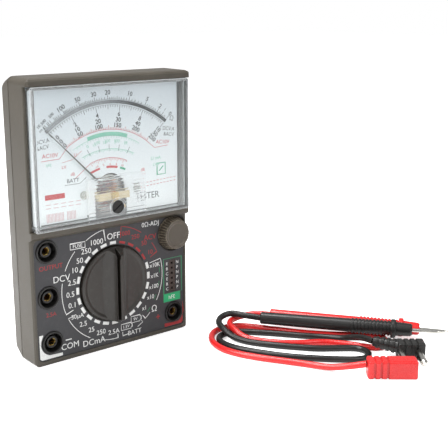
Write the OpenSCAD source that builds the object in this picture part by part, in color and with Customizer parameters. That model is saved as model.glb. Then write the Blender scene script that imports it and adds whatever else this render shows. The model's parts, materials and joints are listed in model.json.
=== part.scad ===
// Analog multimeter with its two test leads.
// It stands on its base, faces -Y, and X runs to the right as the user sees it.

/* [Case] */
// Width of the case
body_w = 100; // [100:1:104]
// Height of the case
body_h = 152; // [152:1:154]
// Depth of the case behind the face of the control panel
rear_depth = 29; // [29:0.5:31]
// Depth of the seam between the two shells behind that face
seam_depth = 14; // [14:0.5:15]
// Radius of the case's corners, seen from the front
corner_r = 3.5; // [3:0.5:4.5]
// Wall thickness of the shells
wall = 2.2; // [2:0.1:2.4]
// Radius of the rounded edge round the back
back_round = 6; // [5:0.5:7]
// How much narrower the back is than the front, on each side and at the top
back_taper = 1.5; // [1:0.1:1.8]
// How far the brow above the window stands out from the panel's face
brow_rise = 5; // [4.6:0.1:5.4]
// How far the ledge below the window stands out
ledge_rise = 3; // [2:0.2:3.4]

/* [Window and dial] */
// Height of the window's lower edge above the base
window_low = 74; // [74:0.5:75]
// How far the clear cover stands out
cover_rise = 6; // [5.8:0.1:6.2]
// Thickness of the clear cover's front
cover_t = 1.8; // [1.6:0.1:1.9]
// Number of ribs on the cover's ribbed patch
patch_ribs = 13; // [9:1:15]
// Depth of the dial's face behind the panel's face
dial_depth = 1.2; // [1.1:0.1:1.3]
// Height of the pointer's pivot above the base
pivot_h = 87.5; // [87:0.5:88]
// Length of the pointer from its pivot
pointer_len = 55.8; // [50:0.2:56]
// Angle of the pointer left of upright when it rests at zero
zero_angle = 45; // [43:1:46]

/* [Selector] */
// Height of the selector's axis above the base
selector_h = 37.5; // [37:0.5:38]
// Diameter of the selector knob
knob_d = 42; // [38:1:42]
// How far the knob's grip stands out
grip_rise = 7; // [6:0.5:8]
// Number of switch positions in a full turn
positions = 24; // [12:12:24]

/* [Zero-ohm adjuster] */
// Diameter of the adjuster knob at its skirt
adjuster_d = 19.2; // [18:0.2:19.4]
// How far the adjuster knob stands out
adjuster_rise = 5; // [4:0.5:6]
// Number of ribs round the adjuster knob
adjuster_ribs = 36; // [24:2:40]

/* [Jacks] */
// Diameter of the jacks' bore
jack_bore = 4; // [4:0.1:4.2]
// Diameter of the well round each jack
well_d = 10.2; // [9.6:0.2:10.6]
// Length of the metal jack sleeves
sleeve_len = 17.6; // [16:0.2:19]

/* [Test leads] */
// Diameter of the leads' cable
cable_d = 3.6; // [3:0.2:3.6]
// Diameter of a probe's ribbed grip
grip_d = 8.6; // [8:0.2:9]
// Diameter of the plugs' pins
plug_pin_d = 4; // [3.9:0.05:4]

/* [Hidden] */
$fn = 48;

case_colour = "#6b655b";
dark_colour = "#3a352f";
panel_colour = "#4a4a4d";
metal_colour = "#b9b6ae";
brass_colour = "#c9a24a";
copper_colour = "#b8703a";
beige_colour = "#cdbb96";

// The panel's face stands so that the whole depth, grip included, is centred on Y = 0.
panel_y = -(rear_depth - grip_rise) / 2;
half_w = body_w / 2;
rim_rise = 0.3;
side_rise = 0.8;
seam_gap = 0.4;
tongue_inset = 1.2;
edge_bevel = 0.8;
rim_w = 2;
skin_back = -2.2;
plate_t = 0.6;
ledge_low = window_low - 4.5;
window_high = body_h - 4.4;
brow_low = window_high + 0.15;
tray_front = -dial_depth - plate_t;
tray_back = tray_front - 2.4;
rabbet_w = half_w - 1.6;
side_wall = 2.2;
fit_gap = 0.05;
overcut = 0.1;

// The selector and what turns with it
recess_floor = -1.4;
recess_back = -3.6;
rotor_front = recess_back - 0.5;
board_front = -8.2;
board_t = 1.6;
board_back = board_front - board_t;
spindle_r = 4;
detent_r = 19.6;
ball_r = 1.5;

// Places on the panel
jack_x = half_w - 9.5;
adjuster_x = half_w - 9.7;
adjuster_h = selector_h + 22;
socket_x = half_w - 10.4;
socket_h = selector_h - 3.4;
hole_pitch = 3.04;
UPPER = [-jack_x, selector_h + 25];
MIDDLE = [-jack_x, selector_h];
COMMON = [1.3 - jack_x, selector_h - 25.3];
POSITIVE = [jack_x, selector_h - 25.8];
JACKS = [UPPER, MIDDLE, COMMON, POSITIVE];
CASE_SCREWS = [[-25, 8], [25, 8], [-13, body_h - 11], [13, body_h - 11]];
BOARD_SCREWS = [[-22, 66], [22, 66], [0, 8]];
DIAL_SCREWS = [[-16.5, pivot_h + 1.5], [16.5, pivot_h + 1.5]];

// The movement, measured from its pivot
arc_h = pivot_h - 10;
mirror_r = 59.6;
zero_screw_drop = 5.8;
pin_throw = 1.2;
core_r = 5;
ring_in_r = 7.2;
ring_out_r = 10.5;
frame_r = 12.3;
coil_front = -3.1;
coil_back = -13.3;

// The cells and the square battery, behind the dial
cell_x = [-24.2, -39.2];
cell_low = 88.9;
cell_len = 49.4;
cell_z = -18.4;
battery_box = [18.4, 44.9, 80.4, 126.6];

// The test leads lie on the surface in front of the meter.
// Their frame: x along the hank, y away from the user, z up.
LEADS_AT = [62, -93, 0];
LEADS_TURN = -40;
RED_ROUTE = [
    [35, -15, 6.5], [26, -13, 4.4], [16, -9.5, 2.4], [5, -4.5, 1.8], [-7, -0.5, 1.8],
    [-19, 3.5, 1.8], [-30, 8.5, 1.8], [-39, 15, 1.8], [-44.5, 23.5, 1.8], [-46.5, 33, 1.8],
    [-45, 42, 1.8], [-39.5, 49, 1.8], [-31, 52, 1.8], [-20, 50, 1.8], [-8, 46, 1.8],
    [5, 42, 1.8], [18, 39.5, 1.8], [31, 38.5, 1.8], [42, 38.8, 1.8], [50, 36.6, 1.8],
    [52.6, 30, 1.8], [51.4, 23, 1.8], [46, 19.2, 1.8], [39, 21, 1.8],
    [29, 24.5, 1.8], [17, 27, 1.8], [5, 25.8, 1.8], [-7, 26, 1.8], [-18, 28.5, 1.8],
    [-27, 32, 2.4], [-33, 37, 4.8], [-36, 43.5, 6], [-35, 50.5, 6], [-29.5, 56, 6.4],
    [-21, 57.4, 7.6], [-12, 55.5, 7.8]
];
BLACK_ROUTE = [
    [43, 14.5, 7.5], [38.5, 20.5, 7], [33.5, 26.5, 5], [27, 31.5, 2.6], [17, 35, 1.8],
    [5, 37, 1.8], [-7, 39.5, 1.8], [-19, 41.5, 1.8], [-30, 42.5, 1.8], [-38, 39.8, 1.8],
    [-42, 33.5, 1.8], [-40.5, 25.5, 1.8], [-34, 18.5, 1.8], [-25, 13.5, 1.8], [-14, 9, 1.8],
    [-2, 5.5, 1.8], [10, 3.5, 1.8], [22, 2.4, 1.8], [32, 2.4, 1.8], [37.7, 4.7, 1.8],
    [40, 10.4, 1.8], [37.7, 16.1, 1.8], [32, 18.4, 1.8], [22, 18, 1.8], [12, 17.6, 1.8],
    [3, 19, 1.8],
    [-7, 21, 1.8], [-18, 24, 1.8], [-27, 27.5, 1.9], [-34.5, 32, 3], [-39.8, 37, 5.8],
    [-42.5, 43.5, 7.4], [-40.5, 49, 8.8], [-35, 51.5, 9.8], [-26.5, 49, 9.4], [-18, 47, 8.8]
];
RED_PROBE_AT = [-12, 55.5, 7.8];
BLACK_PROBE_AT = [-18, 47, 8.8];
probe_turn = -11.5;
red_dip = 1.3;
black_dip = 0.3;
grip_start = 52;
guard_start = 75;
nose_end = 87;
tip_end = 105;
plug_w = 10;
plug_round = 1.25;
pin_len = 15.5;

function unit(v) = v / norm(v);

function tangent(path, i) = unit(path[min(i + 1, len(path) - 1)] - path[max(i - 1, 0)]);

function across(v) = unit(cross(v, abs(v[2]) < 0.9 ? [0, 0, 1] : [1, 0, 0]));

// One side direction for each point, carried along the path without twisting
function sides_along(path, i = 0, last = undef) =
    i >= len(path) ? [] :
    let (t = tangent(path, i), s = is_undef(last) ? across(t) : unit(last - (last * t) * t))
    concat([s], sides_along(path, i + 1, s));

// A closed tube swept along a path, with one ring of n corners at each of its points
module tube(path, r, n = 8) {
    sides = sides_along(path);
    rings = len(path);
    points = [
        for (i = [0:rings - 1])
            let (a = sides[i], b = cross(tangent(path, i), a))
            for (k = [0:n - 1]) path[i] + r * (cos(360 * k / n) * a + sin(360 * k / n) * b)
    ];
    walls = [
        for (i = [0:rings - 2], k = [0:n - 1])
            [i * n + k, i * n + (k + 1) % n, (i + 1) * n + (k + 1) % n, (i + 1) * n + k]
    ];
    first = [for (k = [n - 1:-1:0]) k];
    last = [for (k = [0:n - 1]) (rings - 1) * n + k];
    polyhedron(points, concat([first, last], walls), convexity = 10);
}

function helix(r, pitch, turns, steps) =
    [for (i = [0:turns * steps]) [r * cos(360 * i / steps), r * sin(360 * i / steps), pitch * i / steps]];

// Everything on the meter is drawn with x to the right, y up from the base and z out of the panel
module on_face() {
    translate([0, panel_y, 0])
        rotate([90, 0, 0])
            children();
}

module box(x0, x1, y0, y1, z0, z1) {
    translate([x0, y0, z0])
        cube([x1 - x0, y1 - y0, z1 - z0]);
}

module rod(r, z0, z1) {
    translate([0, 0, z0])
        cylinder(r = r, h = z1 - z0);
}

module pipe(outer, inner, z0, z1) {
    difference() {
        rod(outer, z0, z1);
        rod(inner, z0 - overcut, z1 + overcut);
    }
}

module at(spot, z = 0) {
    translate([spot[0], spot[1], z])
        children();
}

// A rectangle with rounded corners, standing on y = y0
module round_rect(w, y0, y1, r) {
    translate([-w / 2 + r, y0])
        square([w - 2 * r, y1 - y0]);
    translate([-w / 2, y0 + r])
        square([w, y1 - y0 - 2 * r]);
    for (side = [-1, 1], y = [y0 + r, y1 - r])
        translate([side * (w / 2 - r), y])
            circle(r);
}

module outline(z0, z1, inset = 0) {
    translate([0, 0, z0])
        linear_extrude(z1 - z0)
            round_rect(body_w - 2 * inset, inset, body_h - inset, corner_r - inset / 2);
}

// Profiles: of height and z drawn along x, and of x and z drawn along the height
module along_x(x0, x1) {
    translate([x0, 0, 0])
        rotate([90, 0, 90])
            linear_extrude(x1 - x0)
                children();
}

module along_y(y0, y1) {
    translate([0, y1, 0])
        rotate([90, 0, 0])
            linear_extrude(y1 - y0)
                children();
}

// A block as wide as the case whose two long front edges are bevelled
module bevelled_front(y0, y1, rise, bevel) {
    along_y(y0, y1)
        polygon([
            [-half_w, -seam_depth], [half_w, -seam_depth], [half_w, rise - bevel],
            [half_w - bevel, rise], [bevel - half_w, rise], [-half_w, rise - bevel]
        ]);
}

module case_front_solid() {
    intersection() {
        outline(-seam_depth, cover_rise);
        union() {
            intersection() {
                bevelled_front(0, ledge_low, rim_rise, edge_bevel);
                along_x(-half_w, half_w)
                    polygon([
                        [0, -seam_depth], [ledge_low, -seam_depth], [ledge_low, rim_rise],
                        [edge_bevel, rim_rise], [0, rim_rise - edge_bevel]
                    ]);
            }
            intersection() {
                bevelled_front(ledge_low, window_low, ledge_rise, 0.5);
                along_x(-half_w, half_w)
                    polygon([
                        [ledge_low, -seam_depth], [window_low, -seam_depth],
                        [window_low, ledge_rise - 0.3], [window_low - 0.3, ledge_rise],
                        [ledge_low + 2, ledge_rise], [ledge_low + 1.2, ledge_rise - 0.5],
                        [ledge_low, rim_rise]
                    ]);
            }
            bevelled_front(window_low, body_h, side_rise, 0.4);
            intersection() {
                bevelled_front(brow_low, body_h, brow_rise, 1.3);
                along_x(-half_w, half_w)
                    polygon([
                        [brow_low, -seam_depth], [body_h, -seam_depth], [body_h, brow_rise - 2.4],
                        [body_h - 0.6, brow_rise - 0.9], [body_h - 1.6, brow_rise],
                        [brow_low + 0.3, brow_rise], [brow_low, brow_rise - 0.3]
                    ]);
            }
        }
    }
}

module front_case() {
    color(case_colour)
        on_face()
            difference() {
                union() {
                    difference() {
                        case_front_solid();
                        // Hollow behind the panel and behind the dial's tray
                        outline(-seam_depth - overcut, tray_back, wall);
                        intersection() {
                            outline(-seam_depth, skin_back, wall);
                            box(-half_w, half_w, 0, ledge_low, -seam_depth, skin_back);
                        }
                        // Seat of the clear cover, the dark gaps beside the dial, and the movement's hole
                        box(-rabbet_w, rabbet_w, window_low, brow_low, tray_front, cover_rise + 1);
                        for (side = [-1, 1])
                            box(side * 45.5 - 1.5, side * 45.5 + 1.5, window_low + 1, window_high - 1,
                                tray_front - 1.6, cover_rise);
                        box(-15.5, 15.5, window_low + 1, pivot_h + 16, tray_back - 1, cover_rise);
                        // Seat of the panel plate
                        translate([0, 0, -plate_t])
                            linear_extrude(2)
                                round_rect(body_w - 2 * rim_w, rim_w + 0.7, ledge_low - 0.2, 3);
                    }
                    intersection() {
                        outline(-seam_depth, 1);
                        union() {
                            at([0, selector_h])
                                rod(knob_d / 2 + 2.5, recess_back, -plate_t);
                            at([0, selector_h])
                                pipe(detent_r + 2.6, detent_r, recess_back - 4, recess_back);
                            for (spot = JACKS)
                                at(spot)
                                    rod(well_d / 2 + 1.6, -7.8, -plate_t);
                            at([adjuster_x, adjuster_h])
                                rod(12, -4, -plate_t);
                        }
                    }
                    // Tongue that fits inside the rear shell's edge
                    difference() {
                        outline(-seam_depth - 1.4, -seam_depth + 0.5, tongue_inset);
                        outline(-seam_depth - 2, 1, wall);
                    }
                    for (spot = CASE_SCREWS)
                        at(spot)
                            rod(3.2, -seam_depth + 0.1, spot[1] < window_low ? skin_back : tray_back);
                    for (spot = BOARD_SCREWS)
                        at(spot)
                            rod(2.6, board_front, skin_back);
                }
                at([0, selector_h]) {
                    rod(knob_d / 2 + 0.6, recess_floor, 2);
                    rod(spindle_r + fit_gap, recess_back - 1, 2);
                    for (k = [0:positions - 1])
                        rotate(k * 360 / positions)
                            translate([0, detent_r - 1, 0])
                                rod(ball_r + 0.1, recess_back - 5, recess_back - 0.25);
                }
                for (spot = JACKS)
                    at(spot) {
                        rod(well_d / 2 + 0.6, -6.5, 2);
                        rod(3.25, -9, 0);
                    }
                at([adjuster_x, adjuster_h]) {
                    rod(10.4, -2.2, 2);
                    rod(2.4, -5, 0);
                }
                box(socket_x - 2.3, socket_x + 2.3, socket_h - 9.4, socket_h + 9.4, -3, 2);
                for (spot = CASE_SCREWS)
                    at(spot)
                        rod(1.3, -seam_depth, -5);
                for (spot = BOARD_SCREWS)
                    at(spot)
                        rod(1.05, board_front - 1, -3.4);
                for (spot = DIAL_SCREWS)
                    at(spot)
                        rod(0.85, tray_back - 1, tray_front + 1);
            }
}

// The rear half tapers towards the back, where its edges and corners are rounded
module back_solid(inset) {
    centre_x = half_w - back_taper - back_round;
    hull() {
        translate([0, 0, -seam_depth - seam_gap - 1])
            linear_extrude(1)
                round_rect(body_w - 2 * inset, inset, body_h - inset, corner_r - inset / 2, $fn = 32);
        for (side = [-1, 1], y = [back_round, body_h - back_taper - back_round])
            translate([side * centre_x, y, back_round - rear_depth])
                sphere(back_round - inset, $fn = 32);
        translate([0, (body_h - 40) / 2, inset - rear_depth])
            linear_extrude(1)
                round_rect(40, 0, 40, 2, $fn = 32);
    }
}

module rear_case() {
    color(case_colour)
        on_face()
            difference() {
                union() {
                    difference() {
                        back_solid(0);
                        back_solid(wall);
                        outline(-seam_depth - 1.5, 1, wall);
                    }
                    for (spot = CASE_SCREWS)
                        at(spot)
                            rod(3.4, -rear_depth + 1.5, -seam_depth - 0.01);
                    // Walls between the cells and the square battery, and a shelf under them
                    intersection() {
                        back_solid(wall / 2);
                        union() {
                            box(-16.2, -14.9, 84, 128, -rear_depth, -15.6);
                            box(16.4, 17.7, 80, 133, -rear_depth, -15.6);
                            box(-half_w, -14.9, 84, 85.4, -rear_depth, -15.6);
                            box(16.4, half_w, 78.6, 80, -rear_depth, -15.6);
                        }
                    }
                }
                outline(-seam_depth - 1.7, 1, tongue_inset - 0.15);
                for (spot = CASE_SCREWS)
                    at(spot) {
                        rod(1.7, -rear_depth - 1, 0);
                        rod(3, -rear_depth - 1, -rear_depth + 2.4);
                    }
            }
}

module cross_slot(z, size) {
    for (turn = [0, 90])
        rotate(turn)
            box(-size, size, -size / 4, size / 4, z - 0.8, z + 1);
}

module case_screws() {
    color(metal_colour)
        on_face()
            for (spot = CASE_SCREWS)
                at(spot)
                    difference() {
                        union() {
                            rod(2.8, -rear_depth + 0.4, -rear_depth + 2.4);
                            rod(1.25, -rear_depth + 2.4, -7);
                        }
                        mirror([0, 0, 1])
                            cross_slot(rear_depth - 0.4, 1.7);
                    }
}

module meter_window() {
    half = rabbet_w - 0.15;
    low = window_low + 0.1;
    color("#dfe8ee", 0.35)
        on_face()
            difference() {
                union() {
                    translate([0, 0, tray_front])
                        linear_extrude(cover_rise - 1 - tray_front)
                            round_rect(2 * half, low, window_high, 1);
                    // Three narrowing layers round the front edge
                    for (step = [[0.15, 0.6], [0.45, 0.3], [1, 0]])
                        translate([0, 0, cover_rise - 1.01])
                            linear_extrude(1.01 - step[1])
                                round_rect(2 * (half - step[0]), low + step[0], window_high - step[0], 1);
                    for (k = [0:patch_ribs - 1])
                        translate([-18, low + 2 + k * 22 / (patch_ribs - 1), cover_rise - 0.95])
                            rotate([0, 90, 0])
                                cylinder(r = 1.15, h = 36);
                    at([0, pivot_h - zero_screw_drop])
                        rod(5, cover_rise - 1, cover_rise + 0.35);
                }
                box(side_wall - half, half - side_wall, low + 2, window_high - 1.5, tray_front - 1,
                    cover_rise - cover_t);
                at([0, pivot_h - zero_screw_drop]) {
                    rod(3.85, cover_rise - 0.8, cover_rise + 1);
                    rod(1.85, 0, cover_rise + 1);
                }
            }
}

module panel_plate() {
    color(panel_colour)
        on_face()
            translate([0, 0, -plate_t + 0.01])
                linear_extrude(plate_t)
                    difference() {
                        round_rect(body_w - 2 * rim_w - 0.2, rim_w + 0.8, ledge_low - 0.3, 2.9);
                        translate([0, selector_h])
                            circle(knob_d / 2 + 0.7);
                        for (spot = JACKS)
                            translate(spot)
                                circle(well_d / 2 + 1.2);
                        translate([adjuster_x, adjuster_h])
                            circle(10.5);
                        translate([socket_x - 2.4, socket_h - 9.5])
                            square([4.8, 19]);
                    }
}

module dial_plate() {
    color("#dfe4e8")
        on_face()
            difference() {
                translate([0, 0, tray_front + 0.01])
                    linear_extrude(plate_t)
                        round_rect(90, window_low + 2.4, window_high - 2, 0.8);
                box(-10, 10, window_low, pivot_h + 2, -5, 1);
                at([0, pivot_h + 2.5])
                    rod(9, -5, 1);
                for (spot = DIAL_SCREWS)
                    at(spot)
                        rod(1.1, -5, 1);
            }
}

module scale_mirror() {
    color("#8d9094")
        on_face()
            translate([0, arc_h, -dial_depth + 0.02])
                linear_extrude(0.12)
                    intersection() {
                        difference() {
                            circle(mirror_r + 0.95, $fn = 180);
                            circle(mirror_r - 0.95, $fn = 180);
                        }
                        polygon([[0, 0], [-64, 80], [64, 80]]);
                    }
}

module dial_screws() {
    color(metal_colour)
        on_face()
            for (spot = DIAL_SCREWS)
                at(spot)
                    difference() {
                        union() {
                            rod(2.2, -dial_depth + 0.02, -dial_depth + 0.9);
                            rod(0.8, tray_back + 0.3, -dial_depth + 0.02);
                        }
                        box(-3, 3, -0.3, 0.3, -dial_depth + 0.5, 1);
                    }
}

// The yoke's ring and the frame that carries it
module movement_frame() {
    color(beige_colour)
        on_face()
            at([0, pivot_h])
                difference() {
                    union() {
                        rod(frame_r, -16.4, -2.6);
                        box(-20, 20, -9, 9, -5.4, tray_back - 0.05);
                    }
                    rod(ring_out_r, -15, 0);
                    box(-14, 14, 3, 14, -17, -12.8);
                    box(-14, 14, -14, -3, -17, -12.8);
                    rod(1.5, -17, 0);
                    for (side = [-1, 1])
                        at([side * DIAL_SCREWS[1][0], 1.5])
                            rod(0.8, -6, 0);
                }
}

module movement_bridge() {
    color(beige_colour)
        on_face()
            at([0, pivot_h])
                difference() {
                    union() {
                        box(-9.6, 9.6, -2.2, 1.8, 1.4, 2.4);
                        for (side = [-1, 1])
                            box(side * 9 - 0.6, side * 9 + 0.6, -2.2, 1.8, -2.6, 1.5);
                        for (side = [-1, 1])
                            box(side * 10.6 - 1.9, side * 10.6 + 1.9, -2.2, 1.8, -2.6, -1.95);
                    }
                    rod(1.5, 1, 3);
                }
}

module yoke_ring() {
    color(metal_colour)
        on_face()
            at([0, pivot_h])
                pipe(ring_out_r, ring_in_r, -12.1, -4.3);
}

// The core is held by a lug above and a lug below, out of the coil's way
module core_magnet() {
    color("#7d2f26")
        on_face()
            at([0, pivot_h]) {
                difference() {
                    rod(core_r, -12.1, -4.3);
                    rod(0.9, -13, 0);
                }
                intersection() {
                    rod(ring_in_r, -11, -5.4);
                    for (side = [-1, 1])
                        box(-1.5, 1.5, side * 6.2 - 1.4, side * 6.2 + 1.4, -11, -5.4);
                }
            }
}

module bearing_screws() {
    color(brass_colour)
        on_face()
            at([0, pivot_h]) {
                difference() {
                    union() {
                        rod(1.5, 0.9, 3.3);
                        rod(2.1, 3.3, 3.65);
                    }
                    rod(0.55, 0, 1.9);
                    box(-3, 3, -0.3, 0.3, 3.4, 4);
                }
                difference() {
                    union() {
                        rod(1.5, -16.8, -14.6);
                        rod(2.1, -17.3, -16.8);
                    }
                    rod(0.55, -15.8, -14);
                    box(-3, 3, -0.3, 0.3, -18, -17);
                }
            }
}

// The coil turns with the pointer, so it's drawn at the pointer's rest angle
module moving_coil() {
    color(copper_colour)
        on_face()
            at([0, pivot_h])
                rotate(zero_angle)
                    difference() {
                        box(-6.6, 6.6, -1.3, 1.3, coil_back, coil_front);
                        box(-5.7, 5.7, -2, 2, coil_back + 0.8, coil_front - 0.8);
                    }
}

module coil_staffs() {
    color(metal_colour)
        on_face()
            at([0, pivot_h]) {
                rod(0.5, coil_front, 1.7);
                rod(0.5, -15.6, coil_back);
            }
}

module pointer() {
    color("#e9eaea")
        on_face()
            at([0, pivot_h])
                rotate(90 + zero_angle)
                    difference() {
                        union() {
                            rod(1.3, 0, 0.7);
                            translate([0, 0, 0.2])
                                linear_extrude(0.3)
                                    polygon([
                                        [0, -0.6], [30, -0.32], [pointer_len, -0.15],
                                        [pointer_len, 0.15], [30, 0.32], [0, 0.6]
                                    ]);
                            for (turn = [90, 180, 270])
                                rotate(turn)
                                    box(0, turn == 180 ? 6.3 : 5, -0.35, 0.35, 0.2, 0.5);
                        }
                        rod(0.5, -1, 2);
                    }
}

module pointer_weight() {
    color(brass_colour)
        on_face()
            at([0, pivot_h])
                rotate(270 + zero_angle)
                    translate([0, 0, 0.35])
                        rotate([0, 90, 0])
                            rod(1, 6.3, 10.5);
}

// A flat spiral spring of three turns
module hairspring(z) {
    turns = [for (a = [0:15:1080]) a];
    translate([0, 0, z])
        linear_extrude(0.2)
            polygon(concat(
                [for (a = turns) (2 + a * 3 / 1080) * [cos(a - 90), sin(a - 90)]],
                [for (i = [len(turns) - 1:-1:0])
                    (2.16 + turns[i] * 3 / 1080) * [cos(turns[i] - 90), sin(turns[i] - 90)]]
            ));
}

module front_hairspring() {
    color(brass_colour)
        on_face()
            at([0, pivot_h])
                hairspring(0.85);
}

module rear_hairspring() {
    color(brass_colour)
        on_face()
            at([0, pivot_h]) {
                hairspring(-14.3);
                box(-0.3, 0.3, -5.4, -4.95, -15, -14.1);
                box(-0.3, 0.3, -5.4, -2.5, -15, -14.8);
            }
}

// The arm that the zero screw's pin turns, with the hairspring's post on it
module zero_arm() {
    color(brass_colour)
        on_face()
            at([0, pivot_h])
                difference() {
                    union() {
                        rod(2.5, 2.72, 3.1);
                        box(-1.5, 1.5, -8.4, -1, 2.72, 3.1);
                        box(-0.3, 0.3, -5.5, -5, 0.85, 2.8);
                    }
                    rod(1.56, 2, 4);
                    box(-0.7, 0.7, -9, -5.7, 2, 4);
                }
}

module zero_screw() {
    color("#1d1c1b")
        on_face()
            at([0, pivot_h - zero_screw_drop]) {
                difference() {
                    rod(3.6, cover_rise - 0.75, cover_rise + 0.25);
                    rotate(35)
                        box(-4, 4, -0.45, 0.45, cover_rise - 0.35, cover_rise + 1);
                }
                rod(1.8, 4, cover_rise - 0.75);
                at([0, -pin_throw])
                    rod(0.45, 2.6, 4);
            }
}

module selector_knob() {
    flank = [for (a = [180:10:270]) [9.1 + 7 * cos(a), 8.4 + 7 * sin(a)]];
    half = concat([[2.1, grip_rise]], flank);
    disc_r = knob_d / 2;
    color(dark_colour)
        on_face()
            at([0, selector_h]) {
                rotate_extrude($fn = 120)
                    polygon([
                        [0, recess_floor + 0.3], [disc_r, recess_floor + 0.3], [disc_r, 1.5],
                        [disc_r - 0.6, 2.1], [disc_r - 1.6, 2.1], [disc_r - 3, 1.6], [0, 1.3]
                    ]);
                difference() {
                    intersection() {
                        along_y(-disc_r, disc_r)
                            polygon(concat(
                                [[0, 0], [0, grip_rise]], half, [[9.1, 0], [-9.1, 0]],
                                [for (i = [len(half) - 1:-1:0]) [-half[i][0], half[i][1]]]
                            ));
                        rod(disc_r - 0.4, 0, grip_rise);
                        along_x(-10, 10)
                            polygon([
                                [-disc_r, 0], [-disc_r, grip_rise - 1], [1 - disc_r, grip_rise],
                                [disc_r - 4, grip_rise], [disc_r - 0.4, 2.2], [disc_r, 0]
                            ]);
                    }
                    along_y(disc_r - 6, disc_r)
                        polygon([[0, 2.6], [0.7, 8], [-0.7, 8]]);
                }
                rod(spindle_r, rotor_front, 0);
                difference() {
                    rod(3, -7.3, rotor_front);
                    rod(1, -8, -5);
                }
            }
}

module selector_rotor() {
    color("#d8d3c4")
        on_face()
            at([0, selector_h])
                difference() {
                    rod(detent_r - 0.4, -7.3, rotor_front);
                    rod(3, -8, 0);
                    for (turn = [90, 270])
                        rotate(turn)
                            translate([0, 0, -5.7])
                                rotate([0, 90, 0])
                                    rod(1.3 + ball_r / 6, 9, detent_r);
                }
}

// Sprung fingers that slide round on the board's tracks
module rotor_wipers() {
    color(brass_colour)
        on_face()
            at([0, selector_h])
                for (turn = [40, 160, 280])
                    rotate(turn) {
                        box(7, 17, -1.6, 1.6, -7.6, -7.3);
                        for (reach = [8, 12, 16])
                            box(reach - 0.5, reach + 0.5, -1.2, 1.2, board_front + 0.15, -7.5);
                    }
}

module rotor_screw() {
    color(metal_colour)
        on_face()
            at([0, selector_h])
                difference() {
                    union() {
                        rod(1, -7.3, -5);
                        rod(3.6, -8.3, -7.3);
                    }
                    mirror([0, 0, 1])
                        cross_slot(8.3, 2);
                }
}

module detent_balls() {
    color(metal_colour)
        on_face()
            at([0, selector_h])
                for (turn = [90, 270])
                    rotate(turn)
                        translate([detent_r - ball_r - 0.3, 0, -5.7])
                            sphere(ball_r);
}

module detent_springs() {
    color(metal_colour)
        on_face()
            at([0, selector_h])
                for (turn = [90, 270])
                    rotate(turn)
                        translate([9.2, 0, -5.7])
                            rotate([0, 90, 0])
                                tube(helix(1.1, 1.4, 5, 12), 0.2);
}

module adjuster_knob() {
    skirt_r = adjuster_d / 2;
    face_r = skirt_r - 1.3;
    color("#57524a")
        on_face()
            at([adjuster_x, adjuster_h])
                difference() {
                    rotate_extrude($fn = 96)
                        polygon([
                            [0, -1.9], [skirt_r, -1.9], [skirt_r, 0], [face_r + 0.3, adjuster_rise - 0.5],
                            [face_r - 0.2, adjuster_rise], [face_r - 1.4, adjuster_rise],
                            [face_r - 2, adjuster_rise - 0.3], [0, adjuster_rise - 0.3]
                        ]);
                    for (k = [0:adjuster_ribs - 1])
                        rotate(k * 360 / adjuster_ribs)
                            translate([skirt_r + 0.1, 0, -0.4])
                                rotate([0, -atan2(1.0, adjuster_rise), 0])
                                    cylinder(r = 0.62, h = adjuster_rise + 2, $fn = 16);
                    rod(2.35, -3, 1);
                }
}

module adjuster_shaft() {
    color(metal_colour)
        on_face()
            at([adjuster_x, adjuster_h])
                difference() {
                    rod(2.35, -7, 1);
                    box(-3, 3, -0.3, 0.3, 0.2, 2);
                }
}

module adjuster_body() {
    color("#2d3a52")
        on_face()
            at([adjuster_x, adjuster_h])
                difference() {
                    union() {
                        rod(6.6, board_front, -4.4);
                        for (x = [-4, 0, 4])
                            box(x - 0.4, x + 0.4, -6, -5.4, board_back - 0.8, board_front);
                    }
                    rod(2.4, -7.3, 0);
                }
}

module circuit_board() {
    color("#a98a4d")
        on_face()
            difference() {
                translate([0, 0, board_back])
                    linear_extrude(board_t)
                        round_rect(93.6, 4.5, 71, 2);
                at([0, selector_h])
                    rod(4.5, -12, 0);
                for (spot = JACKS)
                    at(spot)
                        rod(2.6, -12, 0);
                for (spot = CASE_SCREWS)
                    at(spot)
                        rod(3.7, -12, 0);
                for (spot = BOARD_SCREWS)
                    at(spot)
                        rod(1, -12, 0);
                for (k = [0:5])
                    at([socket_x, socket_h - 2.5 * hole_pitch + k * hole_pitch])
                        rod(0.35, -12, 0);
                for (x = [-4, 0, 4])
                    box(adjuster_x + x - 0.4, adjuster_x + x + 0.4, adjuster_h - 6, adjuster_h - 5.4, -12, 0);
            }
}

module switch_tracks() {
    color(copper_colour)
        on_face()
            at([0, selector_h])
                for (reach = [8, 12])
                    pipe(reach + 0.8, reach - 0.8, board_front, board_front + 0.1);
    color(copper_colour)
        on_face()
            at([0, selector_h])
                for (k = [0:positions - 1])
                    rotate(k * 360 / positions)
                        box(14.6, 17.6, -1.2, 1.2, board_front, board_front + 0.1);
}

module board_screws() {
    color(metal_colour)
        on_face()
            for (spot = BOARD_SCREWS)
                at(spot)
                    difference() {
                        union() {
                            rod(1, board_back, -4);
                            rod(2.2, board_back - 1.3, board_back);
                        }
                        mirror([0, 0, 1])
                            cross_slot(-board_back + 1.3, 1.4);
                    }
}

// A part with two bent wire legs lying on the back of the board
module axial_part(spot, length, r, turn = 0) {
    at(spot, board_back - r - 0.2)
        rotate([0, 90, turn]) {
            rod(r, -length / 2, length / 2);
            rod(0.3, -length / 2 - 2, length / 2 + 2);
            for (end = [-1, 1])
                translate([0, 0, end * (length / 2 + 1.7)])
                    rotate([0, -90, 0])
                        rod(0.3, 0, r + 0.2);
        }
}

module resistors() {
    color("#c8a878")
        on_face()
            for (x = [-30, -16], y = [18:5.6:46])
                axial_part([x, y], 6, 1.15);
}

module diodes() {
    color("#2b2a29")
        on_face()
            for (y = [18:5.6:30])
                axial_part([14, y], 3.4, 0.95);
}

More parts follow.
